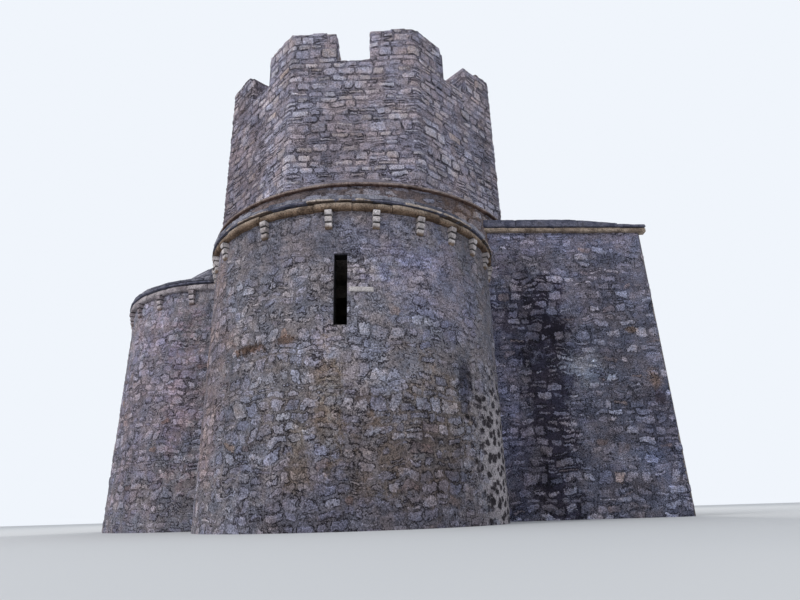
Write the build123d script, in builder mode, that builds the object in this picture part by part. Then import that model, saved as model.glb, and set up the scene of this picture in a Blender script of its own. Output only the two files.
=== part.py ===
from build123d import *
import os
from math import cos, radians, sin, sqrt, tan

os.makedirs("parts", exist_ok=True)

# Small domed church of rubble stone: three apses and one entrance arm about
# a vaulted crossing, with a round drum and an octagonal lookout tower above.
# Millimetres. Origin on the ground under the dome's centre, +Z up.
# The front apse faces -Y, the left apse -X, and the entrance arm +X.

# Plan
bay_half = 980
pier_side = 1560
pier_front = 1530
front_apse_radius = 1560
front_apse_centre = 1755
left_apse_radius = 1530
left_apse_centre = 1790
arm_casing = 197
arm_end = 3640
end_wall_thickness = 600

# Levels
floor_top = 60
springing = 1625
vault_cover = 230
arm_wall_top = 3480

# Vault shells of the apses and the arm
shell = 200
bedding = 3

# Eaves of apses and arm
cornice_height = 62
cornice_reach = 72
cornice_lip = 55
recess_height = 18
slab_edge = 20
front_roof_rise = 880
left_roof_rise = 990
arm_slab_edge = 55
arm_roof_rise = 150
gable_overhang = 80

# Roll-moulded corbels
corbel_width = 64
corbel_rolls = 3
roll_height = 62
roll_reach = 17
corbel_root = 12

# Window slits and the doorway
slit_width = 130
slit_inner_width = 380
slit_sill = 1650
slit_head = 2345
slit_offset = 30
door_half = 380
door_head = 1800
threshold_reach = 60
threshold_height = 80
lintel_half = 620
lintel_height = 210

# Drum, string course and dome
drum_top = 3770
course_height = 40
course_margin = 70
course_reach = 55
dome_shell = 200
dome_cover = 60

# Octagonal tower
tower_half = 1995
parapet_thickness = 450
weathering_height = 220
weathering_setback = 30
platform_height = 60
crenel_sill = 5870
crenel_width = 470
merlon_heights = (560, 590, 540, 610, 600, 550, 600, 620)

# Sizes that follow from those above
crown = springing + bay_half
seat_level = crown + vault_cover
wall_top = seat_level - cornice_height
front_roof_edge = front_apse_radius + cornice_reach
left_roof_edge = left_apse_radius + cornice_reach
shell_radius = bay_half + shell
wall_inner = shell_radius + bedding
arm_half = wall_inner + arm_casing
corbel_height = corbel_rolls * roll_height
tower_corner = tower_half / cos(radians(22.5))
course_radius = tower_corner + course_margin
drum_radius = course_radius - course_reach
course_top = drum_top + course_height
dome_outer = bay_half + dome_shell
platform_level = course_top + dome_outer + dome_cover
tower_inner = tower_half - parapet_thickness
inner_corner = tower_inner / cos(radians(22.5))
outer_leg = tower_half * tan(radians(22.5)) - crenel_width / 2
inner_leg = tower_inner * tan(radians(22.5)) - crenel_width / 2
slant = (cos(radians(67.5)), sin(radians(67.5)))
pieces = []


def keep(builder, name):
    """Name a finished piece and write it to its own file."""
    builder.part.label = name
    export_step(builder.part, f"parts/{name}.step")
    pieces.append(builder.part)


def apse_plan(bearing, distance):
    """Ground plane of an apse: local x runs outwards, its centre is the origin."""
    out = (cos(radians(bearing)), sin(radians(bearing)), 0)
    return Plane(origin=(out[0] * distance, out[1] * distance, 0), x_dir=out, z_dir=(0, 0, 1))


def apse_section(bearing, distance):
    """Upright plane across an apse through its centre: local y runs up."""
    out = (cos(radians(bearing)), sin(radians(bearing)), 0)
    across = (sin(radians(bearing)), -cos(radians(bearing)), 0)
    return Plane(origin=(out[0] * distance, out[1] * distance, 0), x_dir=across, z_dir=(-out[0], -out[1], 0))


def d_outline(radius, tail):
    """Half-round outline with a straight tail of the given length behind it."""
    with BuildLine() as outline:
        Line((-tail, radius), (0, radius))
        ThreePointArc((0, radius), (radius, 0), (0, -radius))
        Line((0, -radius), (-tail, -radius))
        Line((-tail, -radius), (-tail, radius))
    make_face(outline.edges())


def slit_wedge(radius, slit_place):
    """Splayed outline of the window in plan, wide inside and narrow outside."""
    with BuildLine() as outline:
        Polyline(
            (bay_half * 0.8, slit_place - slit_inner_width / 2),
            (radius + cornice_reach, slit_place - slit_width / 2),
            (radius + cornice_reach, slit_place + slit_width / 2),
            (bay_half * 0.8, slit_place + slit_inner_width / 2),
            close=True,
        )
    make_face(outline.edges())


def build_apse(
    name, bearing, radius, distance, tail, cornice_tail, roof_rise, corbel_bearings, slit_place, valley
):
    """One apse: walls about a splayed slit, conch, cornice, corbels and roof."""
    plan = apse_plan(bearing, distance)
    section = apse_section(bearing, distance)
    side_cut = radius * 2
    roof_edge = radius + cornice_reach
    eaves = seat_level + recess_height + slab_edge

    with BuildPart() as whole_wall:
        with BuildSketch(plan):
            d_outline(radius, tail)
        extrude(amount=wall_top)
        with BuildSketch(plan):
            d_outline(bay_half, tail)
        extrude(amount=springing, mode=Mode.SUBTRACT)
        with BuildSketch(plan.offset(springing)):
            d_outline(wall_inner, tail)
        extrude(amount=wall_top - springing, mode=Mode.SUBTRACT)

    for side, sign in (("left", -1), ("right", 1)):
        with BuildPart() as wall:
            add(whole_wall.part)
            with BuildSketch(plan):
                with Locations((0, -sign * side_cut / 2 + slit_place)):
                    Rectangle(side_cut * 2, side_cut)
            extrude(amount=wall_top, mode=Mode.SUBTRACT)
            with BuildSketch(plan):
                slit_wedge(radius, slit_place)
            extrude(amount=wall_top, mode=Mode.SUBTRACT)
        keep(wall, f"{name}_wall_{side}")

    with BuildPart() as window_bay:
        add(whole_wall.part)
        with BuildSketch(plan):
            slit_wedge(radius, slit_place)
        extrude(amount=wall_top, mode=Mode.INTERSECT)
        with BuildSketch(plan.offset(slit_sill)):
            with Locations((radius, slit_place)):
                Rectangle(side_cut, slit_inner_width * 2)
        extrude(amount=slit_head - slit_sill, mode=Mode.SUBTRACT)
    keep(window_bay, f"{name}_window_sill_and_head")

    with BuildPart() as conch:
        with BuildSketch(plan.offset(springing)):
            d_outline(shell_radius, tail)
        extrude(amount=seat_level - springing)
        with Locations(plan.offset(springing).location):
            Sphere(bay_half, mode=Mode.SUBTRACT)
        with BuildSketch(section):
            with Locations((0, springing)):
                Circle(bay_half)
        extrude(amount=tail, mode=Mode.SUBTRACT)
        with BuildSketch(plan.offset(slit_sill)):
            slit_wedge(radius, slit_place)
        extrude(amount=slit_head - slit_sill, mode=Mode.SUBTRACT)
    keep(conch, f"{name}_conch")

    with BuildPart() as cornice:
        with BuildSketch(section) as cornice_profile:
            with BuildLine():
                Line((wall_inner, wall_top), (radius + cornice_lip, wall_top))
                RadiusArc(
                    (radius + cornice_lip, wall_top),
                    (roof_edge, wall_top + cornice_height * 0.6),
                    -cornice_height * 0.8,
                )
                Line((roof_edge, wall_top + cornice_height * 0.6), (roof_edge, seat_level))
                Line((roof_edge, seat_level), (wall_inner, seat_level))
                Line((wall_inner, seat_level), (wall_inner, wall_top))
            make_face()
        revolve(axis=Axis(plan.origin, (0, 0, 1)))
        split(bisect_by=Plane(origin=plan.origin, z_dir=plan.x_dir), keep=Keep.TOP)
        with BuildSketch(section):
            add(cornice_profile.sketch_local)
            mirror(cornice_profile.sketch_local, about=Plane.YZ)
        extrude(amount=cornice_tail)
        with BuildSketch(Plane.XY.offset(wall_top)):
            Rectangle(2 * pier_side, 2 * pier_front)
            if cornice_tail > tail:
                with Locations((-2 * pier_side, 0)):
                    Rectangle(2 * pier_side, 2 * left_roof_edge)
        extrude(amount=cornice_height, mode=Mode.SUBTRACT)
    keep(cornice, f"{name}_cornice")

    with BuildPart() as corbels:
        for corbel_bearing in corbel_bearings:
            with BuildSketch(corbel_plane(plan, corbel_bearing, wall_top)):
                corbel_outline(radius)
            extrude(amount=corbel_width / 2, both=True)
    keep(corbels, f"{name}_corbels")

    with BuildPart() as roof:
        with BuildSketch(section) as roof_profile:
            with BuildLine():
                Polyline(
                    (0, eaves + roof_rise),
                    (0, seat_level),
                    (radius, seat_level),
                    (radius, seat_level + recess_height),
                    (roof_edge, seat_level + recess_height),
                    (roof_edge, eaves),
                    (roof_edge * 0.66, eaves + roof_rise * 0.255),
                )
                ThreePointArc(
                    (roof_edge * 0.66, eaves + roof_rise * 0.255),
                    (roof_edge * 0.39, eaves + roof_rise * 0.66),
                    (0, eaves + roof_rise),
                )
            make_face()
        revolve(axis=Axis(plan.origin, (0, 0, 1)))
        split(bisect_by=Plane(origin=plan.origin, z_dir=plan.x_dir), keep=Keep.TOP)
        with BuildSketch(section):
            add(roof_profile.sketch_local)
            mirror(roof_profile.sketch_local, about=Plane.YZ)
        extrude(amount=distance)
        with BuildSketch(Plane.XY):
            Circle(drum_radius + bedding)
        extrude(amount=crenel_sill, mode=Mode.SUBTRACT)
        with BuildSketch(Plane(origin=(0, 0, 0), x_dir=plan.x_dir, z_dir=(0, 0, 1))):
            Polygon(*valley, align=(Align.NONE, Align.NONE))
        extrude(amount=crenel_sill, mode=Mode.INTERSECT)
    keep(roof, f"{name}_roof")


def corbel_plane(plan, corbel_bearing, top):
    """Upright radial plane of one corbel: local x runs out from the apse's centre."""
    out = (cos(radians(corbel_bearing)), sin(radians(corbel_bearing)), 0)
    origin = (plan.origin.X, plan.origin.Y, top)
    return Plane(origin=origin, x_dir=out, z_dir=(out[1], -out[0], 0))


def corbel_outline(radius):
    """Side view of a corbel: rolls that step back one below the other."""
    back = radius + bedding / 10
    with BuildLine() as outline:
        Line((back, 0), (back + corbel_root + corbel_rolls * roll_reach, 0))
        for step in range(corbel_rolls):
            reach = back + corbel_root + (corbel_rolls - step) * roll_reach
            top = -step * roll_height
            bottom = top - roll_height
            inner = reach - roll_reach
            bulge = (reach + roll_height * 0.16, top - roll_height * 0.45)
            ThreePointArc((reach, top), bulge, (inner, bottom))
        Line((back + corbel_root, -corbel_height), (back, -corbel_height))
        Line((back, -corbel_height), (back, 0))
    make_face(outline.edges())


# Crossing piers with their quarter of the arches and pendentives
for front, y_sign in (("front", -1), ("rear", 1)):
    for side, x_sign in (("left", -1), ("right", 1)):
        with BuildPart() as pier:
            with BuildSketch(Plane.XY):
                with Locations((x_sign * pier_side / 2, y_sign * pier_front / 2)):
                    Rectangle(pier_side, pier_front)
            extrude(amount=seat_level)
            with BuildSketch(Plane.XY):
                Rectangle(2 * bay_half, 3 * pier_front)
                Rectangle(3 * pier_side, 2 * bay_half)
            extrude(amount=springing, mode=Mode.SUBTRACT)
            for upright in (Plane.XZ, Plane.YZ):
                with BuildSketch(upright.offset(-2 * pier_side)):
                    with Locations((0, springing)):
                        Circle(bay_half)
                extrude(amount=4 * pier_side, mode=Mode.SUBTRACT)
            with Locations((0, 0, springing)):
                Sphere(bay_half * sqrt(2), mode=Mode.SUBTRACT)
            with BuildSketch(Plane.XY.offset(springing)):
                Circle(bay_half)
            extrude(amount=seat_level - springing, mode=Mode.SUBTRACT)
        keep(pier, f"crossing_pier_{front}_{side}")

# Drum, string course, dome and tower
with BuildPart() as drum:
    with BuildSketch(Plane.XY.offset(seat_level)):
        Circle(drum_radius)
        Circle(bay_half, mode=Mode.SUBTRACT)
    extrude(amount=drum_top - seat_level)
keep(drum, "drum_wall")

with BuildPart() as string_course:
    with BuildSketch(Plane.XY.offset(drum_top)):
        Circle(course_radius)
        Circle(bay_half, mode=Mode.SUBTRACT)
    extrude(amount=course_height)
    outer_edges = string_course.edges().filter_by(GeomType.CIRCLE).sort_by(lambda e: e.radius)[-2:]
    fillet(outer_edges, course_height * 0.42)
keep(string_course, "drum_string_course")

with BuildPart() as dome:
    with BuildSketch(Plane.XZ):
        with BuildLine():
            Line((bay_half, course_top), (dome_outer, course_top))
            CenterArc((0, course_top), dome_outer, 0, 90)
            Line((0, course_top + dome_outer), (0, course_top + bay_half))
            CenterArc((0, course_top), bay_half, 0, 90)
        make_face()
    revolve(axis=Axis.Z)
keep(dome, "dome")

with BuildPart() as dome_haunch:
    with BuildSketch(Plane.XY.offset(course_top)):
        RegularPolygon(tower_inner, 8, major_radius=False, rotation=22.5)
    extrude(amount=platform_level - course_top)
    with Locations((0, 0, course_top)):
        Sphere(dome_outer + bedding, mode=Mode.SUBTRACT)
keep(dome_haunch, "dome_haunch")

with BuildPart() as tower_wall:
    with BuildSketch(Plane.XY.offset(course_top)):
        RegularPolygon(tower_half, 8, major_radius=False, rotation=22.5)
        RegularPolygon(tower_inner, 8, major_radius=False, rotation=22.5, mode=Mode.SUBTRACT)
    extrude(amount=crenel_sill - course_top)
keep(tower_wall, "tower_wall")

with BuildPart() as weathering:
    with Locations((0, 0, course_top)):
        Cone(
            course_radius - weathering_setback,
            tower_half - weathering_setback,
            weathering_height,
            align=(Align.CENTER, Align.CENTER, Align.MIN),
        )
    with BuildSketch(Plane.XY.offset(course_top)):
        RegularPolygon(tower_half, 8, major_radius=False, rotation=22.5)
    extrude(amount=weathering_height, mode=Mode.SUBTRACT)
keep(weathering, "drum_weathering")

with BuildPart() as lookout_floor:
    with BuildSketch(Plane.XY.offset(platform_level)):
        RegularPolygon(tower_inner, 8, major_radius=False, rotation=22.5)
    extrude(amount=platform_height)
keep(lookout_floor, "lookout_floor")

with BuildPart() as merlons:
    for index, height in enumerate(merlon_heights):
        corner = radians(22.5 + 45 * index)
        corner_axis = (cos(corner), sin(corner), 0)
        with BuildSketch(Plane(origin=(0, 0, crenel_sill), x_dir=corner_axis, z_dir=(0, 0, 1))):
            with BuildLine():
                Polyline(
                    (tower_corner, 0),
                    (tower_corner - outer_leg * slant[0], outer_leg * slant[1]),
                    (inner_corner - inner_leg * slant[0], inner_leg * slant[1]),
                    (inner_corner, 0),
                    (inner_corner - inner_leg * slant[0], -inner_leg * slant[1]),
                    (tower_corner - outer_leg * slant[0], -outer_leg * slant[1]),
                    close=True,
                )
            make_face()
        extrude(amount=height)
keep(merlons, "merlons")

# Three apses
front_tail = front_apse_centre - pier_front
left_tail = left_apse_centre - pier_side
front_cornice_tail = front_apse_centre - arm_half - bedding
front_corbels = (-141, -117, -93, -77, -61, -47, -34, -20, -6, -154, -167)
rear_corbels = tuple(-bearing for bearing in front_corbels)
left_corbels = (-99, -117, -134, -149, -164, 180, 164, 149, 134, 117, 99)
valley_start = front_roof_edge - left_roof_edge
roof_reach = 2 * arm_end
front_valley = (
    (arm_half + bedding, 0),
    (arm_half + bedding, roof_reach),
    (roof_reach, roof_reach),
    (roof_reach, -roof_reach - valley_start),
    (-valley_start, 0),
)
rear_valley = tuple((outward, -across) for outward, across in front_valley)
left_valley = (
    (valley_start, 0),
    (roof_reach + valley_start, roof_reach),
    (roof_reach + valley_start, -roof_reach),
)
build_apse(
    "front_apse",
    -90,
    front_apse_radius,
    front_apse_centre,
    front_tail,
    front_cornice_tail,
    front_roof_rise,
    front_corbels,
    slit_offset,
    front_valley,
)
build_apse(
    "rear_apse",
    90,
    front_apse_radius,
    front_apse_centre,
    front_tail,
    front_cornice_tail,
    front_roof_rise,
    rear_corbels,
    0,
    rear_valley,
)
build_apse(
    "left_apse",
    180,
    left_apse_radius,
    left_apse_centre,
    left_tail,
    left_tail,
    left_roof_rise,
    left_corbels,
    0,
    left_valley,
)

# Entrance arm
arm_cornice_top = arm_wall_top + cornice_height
end_inner = arm_end - end_wall_thickness
for side, sign in (("front", -1), ("rear", 1)):
    with BuildPart() as arm_wall:
        with BuildSketch(Plane.XY):
            with Locations(((bay_half + arm_end) / 2, sign * (bay_half + arm_half) / 2)):
                Rectangle(arm_end - bay_half, arm_half - bay_half)
        extrude(amount=arm_wall_top)
        with BuildSketch(Plane.XY):
            Rectangle(2 * pier_side, 4 * arm_half)
        extrude(amount=seat_level, mode=Mode.SUBTRACT)
        with BuildSketch(Plane.XY.offset(seat_level)):
            Circle(drum_radius + bedding)
        extrude(amount=arm_wall_top, mode=Mode.SUBTRACT)
        with BuildSketch(Plane.XY.offset(springing)):
            Rectangle(4 * arm_end, 2 * wall_inner)
        extrude(amount=arm_wall_top, mode=Mode.SUBTRACT)
    keep(arm_wall, f"arm_{side}_wall")

with BuildPart() as arm_vault:
    with BuildSketch(Plane.XY.offset(springing)):
        with Locations(((pier_side + end_inner) / 2, 0)):
            Rectangle(end_inner - pier_side, 2 * shell_radius)
    extrude(amount=seat_level - springing)
    with BuildSketch(Plane.YZ.offset(pier_side)):
        with Locations((0, springing)):
            Circle(bay_half)
    extrude(amount=end_inner - pier_side, mode=Mode.SUBTRACT)
keep(arm_vault, "arm_vault")

for side, sign in (("front", -1), ("rear", 1)):
    with BuildPart() as jamb:
        with BuildSketch(Plane.XY):
            with Locations(((end_inner + arm_end) / 2, sign * (door_half + bay_half) / 2)):
                Rectangle(end_wall_thickness, bay_half - door_half)
        extrude(amount=door_head)
    keep(jamb, f"doorway_wall_{side}")

with BuildPart() as lintel:
    with BuildSketch(Plane.XY.offset(door_head)):
        with Locations(((end_inner + arm_end) / 2, 0)):
            Rectangle(end_wall_thickness, 2 * lintel_half)
    extrude(amount=lintel_height)
keep(lintel, "doorway_lintel")

with BuildPart() as gable_wall:
    with BuildSketch(Plane.YZ.offset(end_inner)):
        with BuildLine():
            Polyline(
                (-wall_inner, springing),
                (-bay_half, springing),
                (-bay_half, door_head),
                (-lintel_half, door_head),
                (-lintel_half, door_head + lintel_height),
                (lintel_half, door_head + lintel_height),
                (lintel_half, door_head),
                (bay_half, door_head),
                (bay_half, springing),
                (wall_inner, springing),
                (wall_inner, arm_wall_top),
                (-wall_inner, arm_wall_top),
                close=True,
            )
        make_face()
    extrude(amount=end_wall_thickness)
keep(gable_wall, "entrance_end_wall")

with BuildPart() as threshold:
    with BuildSketch(Plane.XY):
        with Locations(((end_inner + arm_end + threshold_reach) / 2, 0)):
            Rectangle(end_wall_thickness + threshold_reach, 2 * door_half)
    extrude(amount=threshold_height)
keep(threshold, "doorway_threshold")

with BuildPart() as arm_cornice:
    for sign in (-1, 1):
        with BuildSketch(Plane.YZ.offset(bay_half)):
            with BuildLine():
                Polyline(
                    (sign * wall_inner, arm_wall_top),
                    (sign * (arm_half + cornice_lip), arm_wall_top),
                    (sign * (arm_half + cornice_reach), arm_wall_top + cornice_height * 0.6),
                    (sign * (arm_half + cornice_reach), arm_cornice_top),
                    (sign * wall_inner, arm_cornice_top),
                    close=True,
                )
            make_face()
        extrude(amount=arm_end + gable_overhang - bay_half)
    with BuildSketch(Plane.XY.offset(seat_level)):
        Circle(drum_radius + bedding)
    extrude(amount=arm_wall_top, mode=Mode.SUBTRACT)
keep(arm_cornice, "arm_cornice")

with BuildPart() as arm_roof:
    with BuildSketch(Plane.YZ):
        with BuildLine():
            edge = arm_half + cornice_reach
            eaves = arm_cornice_top + arm_slab_edge
            Polyline(
                (-shell_radius, seat_level),
                (shell_radius, seat_level),
                (shell_radius, arm_cornice_top),
                (edge, arm_cornice_top),
                (edge, eaves),
                (0, eaves + arm_roof_rise),
                (-edge, eaves),
                (-edge, arm_cornice_top),
                (-shell_radius, arm_cornice_top),
                (-shell_radius, seat_level),
            )
        make_face()
    extrude(amount=arm_end + gable_overhang)
    with BuildSketch(Plane.XY):
        Circle(drum_radius + bedding)
    extrude(amount=crenel_sill, mode=Mode.SUBTRACT)
    with BuildSketch(Plane.XY):
        with Locations(((end_inner + arm_end) / 2 + gable_overhang, 0)):
            Rectangle(end_wall_thickness + 2 * gable_overhang, 3 * arm_half)
    extrude(amount=arm_wall_top, mode=Mode.SUBTRACT)
keep(arm_roof, "arm_roof")

# Stone floor inside
with BuildPart() as floor:
    with BuildSketch(Plane.XY):
        Rectangle(2 * bay_half, 2 * front_apse_centre)
        with Locations(((end_inner - left_apse_centre) / 2, 0)):
            Rectangle(end_inner + left_apse_centre, 2 * bay_half)
        with Locations((0, front_apse_centre), (0, -front_apse_centre), (-left_apse_centre, 0)):
            Circle(bay_half)
        offset(amount=-bedding / 10)
    extrude(amount=floor_top)
keep(floor, "floor_paving")
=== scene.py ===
import math
import random

import bmesh
import bpy
import numpy as np
from mathutils import Matrix, Vector, noise


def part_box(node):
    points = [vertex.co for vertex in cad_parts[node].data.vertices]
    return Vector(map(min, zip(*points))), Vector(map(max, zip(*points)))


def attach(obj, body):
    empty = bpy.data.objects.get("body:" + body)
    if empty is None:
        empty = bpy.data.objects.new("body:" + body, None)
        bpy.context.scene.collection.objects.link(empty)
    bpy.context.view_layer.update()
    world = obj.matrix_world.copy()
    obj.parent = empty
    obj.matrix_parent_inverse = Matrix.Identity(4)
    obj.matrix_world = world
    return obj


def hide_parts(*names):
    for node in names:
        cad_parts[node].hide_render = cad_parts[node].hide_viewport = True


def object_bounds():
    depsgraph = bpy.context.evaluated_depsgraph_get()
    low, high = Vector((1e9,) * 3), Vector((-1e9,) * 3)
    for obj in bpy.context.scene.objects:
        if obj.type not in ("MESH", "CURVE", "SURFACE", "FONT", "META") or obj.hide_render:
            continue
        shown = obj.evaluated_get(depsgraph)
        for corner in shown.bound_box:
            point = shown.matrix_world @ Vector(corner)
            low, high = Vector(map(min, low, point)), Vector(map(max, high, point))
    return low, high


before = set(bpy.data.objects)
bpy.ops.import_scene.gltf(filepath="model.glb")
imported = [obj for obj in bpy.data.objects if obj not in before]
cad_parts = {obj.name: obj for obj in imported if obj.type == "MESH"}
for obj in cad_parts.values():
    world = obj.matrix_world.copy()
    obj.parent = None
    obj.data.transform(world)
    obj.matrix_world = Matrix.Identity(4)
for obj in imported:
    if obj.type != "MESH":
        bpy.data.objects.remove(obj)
cad_low, cad_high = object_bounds()

# The same small bumps on the shaped stones in every run
noise.seed_set(1)

# Plan and levels of the church, in metres, read from the solids
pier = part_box("crossing_pier_front_left")
front_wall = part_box("front_apse_wall_left")
left_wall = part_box("left_apse_wall_left")
arm_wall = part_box("arm_front_wall")
eaves_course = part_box("front_apse_cornice")
arm_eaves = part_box("arm_cornice")
course_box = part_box("drum_string_course")
tower_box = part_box("tower_wall")
lintel_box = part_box("doorway_lintel")
PIER_SIDE = -pier[0].x
PIER_FRONT = -pier[0].y
FRONT_RADIUS = -front_wall[0].x
FRONT_CENTRE = -front_wall[0].y - FRONT_RADIUS
LEFT_RADIUS = max(abs(left_wall[0].y), abs(left_wall[1].y))
LEFT_CENTRE = -left_wall[0].x - LEFT_RADIUS
ARM_HALF = -arm_wall[0].y
ARM_END = arm_wall[1].x
WALL_TOP = front_wall[1].z
EAVES_BED = eaves_course[1].z
EAVES_REACH = -eaves_course[0].x - FRONT_RADIUS
SLAB_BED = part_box("front_apse_roof")[0].z + 0.018
ARM_WALL_TOP = arm_wall[1].z
ARM_EAVES_BED = arm_eaves[1].z
ARM_EAVES_END = arm_eaves[1].x
DRUM_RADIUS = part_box("drum_wall")[1].x
DRUM_TOP = course_box[0].z
COURSE_RADIUS = course_box[1].x
COURSE_TOP = course_box[1].z
TOWER_HALF = tower_box[1].x
CRENEL_SILL = tower_box[1].z
PARAPET_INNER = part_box("lookout_floor")[1].x
CRENEL_HALF = 0.235
SLIT_SILL = 1.655
SLIT_HEAD = 2.34
SLIT_OFFSET = 0.03
SLIT_HALF = 0.061
DOOR_HALF = 0.38
BOX_LOW = np.array(cad_low) + 0.0004
BOX_HIGH = np.array(cad_high) - 0.0004

# Facings: how far they stand off the wall, and the size of their mesh
SKIN = 0.003
WALL_STEP = 0.0185
REAR_STEP = 0.023


# Node trees
def feed(tree, socket, value):
    """Give an input a fixed value, or link it to what flows out of another node."""
    if isinstance(value, Flow):
        tree.links.new(value.socket, socket)
    else:
        socket.default_value = value


def add_node(tree, kind, feeds=None, **settings):
    """Place one node, set it up and feed its inputs."""
    made = tree.nodes.new(kind)
    for name, value in settings.items():
        setattr(made, name, value)
    for socket, value in (feeds or {}).items():
        feed(tree, made.inputs[socket], value)
    return made


def put(tree, kind, feeds=None, out=0, **settings):
    """Place one node and hand on one of its outputs."""
    return Flow(tree, add_node(tree, kind, feeds, **settings).outputs[out])


def flows(tree, node):
    return [Flow(tree, socket) for socket in node.outputs]


class Flow:
    """What flows out of a node. Arithmetic with it places the nodes that do it."""

    def __init__(self, tree, socket):
        self.tree = tree
        self.socket = socket

    def step(self, operation, *others):
        terms = dict(enumerate((self, *others)))
        return put(self.tree, "ShaderNodeMath", terms, operation=operation)

    def __add__(self, other):
        return self.step("ADD", other)

    def __sub__(self, other):
        return self.step("SUBTRACT", other)

    def __rsub__(self, other):
        return put(self.tree, "ShaderNodeMath", {0: other, 1: self}, operation="SUBTRACT")

    def __mul__(self, other):
        return self.step("MULTIPLY", other)

    def __truediv__(self, other):
        return self.step("DIVIDE", other)

    def __abs__(self):
        return self.step("ABSOLUTE")

    def least(self, other):
        return self.step("MINIMUM", other)

    def most(self, other):
        return self.step("MAXIMUM", other)

    def vector(self, operation, other):
        return put(self.tree, "ShaderNodeVectorMath", {0: self, 1: other}, operation=operation)

    def parts(self):
        """The three numbers of a vector or colour."""
        return flows(self.tree, add_node(self.tree, "ShaderNodeSeparateXYZ", {0: self}))

    def ease(self, low, high, start=0.0, end=1.0):
        """Smooth step between two limits."""
        feeds = {"Value": self, "From Min": low, "From Max": high, "To Min": start, "To Max": end}
        return put(self.tree, "ShaderNodeMapRange", feeds, "Result", interpolation_type="SMOOTHSTEP")

    def cloud(self, scale, detail=2.0, roughness=0.5, stretch=None, out=0):
        """Soft chance pattern over a place, centred near one half."""
        place = self.vector("MULTIPLY", stretch) if stretch else self
        feeds = {"Vector": place, "Scale": scale, "Detail": detail, "Roughness": roughness}
        return put(self.tree, "ShaderNodeTexNoise", feeds, out)

    def mix(self, first, second):
        """Blend of two colours, with this value as the share of the second."""
        feeds = {0: self, 6: first, 7: second}
        return put(self.tree, "ShaderNodeMix", feeds, 2, data_type="RGBA")

    def times(self, *shares):
        """A colour made darker or paler by each share in turn."""
        colour = self
        for share in shares:
            feeds = {0: 1.0, 6: colour, 7: share}
            colour = put(self.tree, "ShaderNodeMix", feeds, 2, data_type="RGBA", blend_type="MULTIPLY")
        return colour


def point_at(x, y, z=0.0):
    """A vector from its three numbers."""
    return put(x.tree, "ShaderNodeCombineXYZ", {"X": x, "Y": y, "Z": z})


def linear(red, green, blue):
    """Shader colour of an 8-bit screen colour."""
    shares = [c / 255 for c in (red, green, blue)]
    return tuple(s / 12.92 if s <= 0.04045 else ((s + 0.055) / 1.055) ** 2.4 for s in shares) + (1.0,)


def new_group(name, kind, takes, gives):
    """An empty node group with named inputs, each with its default or its kind, and named outputs."""
    tree = bpy.data.node_groups.new(name, kind)
    for label, value in takes:
        socket = {float: "Float", tuple: "Vector"}.get(type(value), value)
        made = tree.interface.new_socket(name=label, in_out="INPUT", socket_type="NodeSocket" + socket)
        if value != socket:
            made.default_value = value
    for label, socket in gives:
        tree.interface.new_socket(name=label, in_out="OUTPUT", socket_type="NodeSocket" + socket)
    given = {flow.socket.name: flow for flow in flows(tree, tree.nodes.new("NodeGroupInput"))}
    return tree, given


def close_group(tree, *values):
    """Hand the values to the group's outputs, in their order."""
    out = tree.nodes.new("NodeGroupOutput")
    for socket, value in zip(out.inputs, values):
        feed(tree, socket, value)
    return tree


MASONRY_SIZES = (
    ("Course", 0.13),
    ("Length", 0.24),
    ("Waver", 0.03),
    ("Joint", 0.012),
    ("Split", 0.25),
    ("Smear", 0.2),
    ("Ragged", 0.014),
    ("Relief", 1.0),
)


def masonry(*sizes):
    """A wall's sizes, in the order of MASONRY_SIZES."""
    return {label: size for (label, _), size in zip(MASONRY_SIZES, sizes)}


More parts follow.
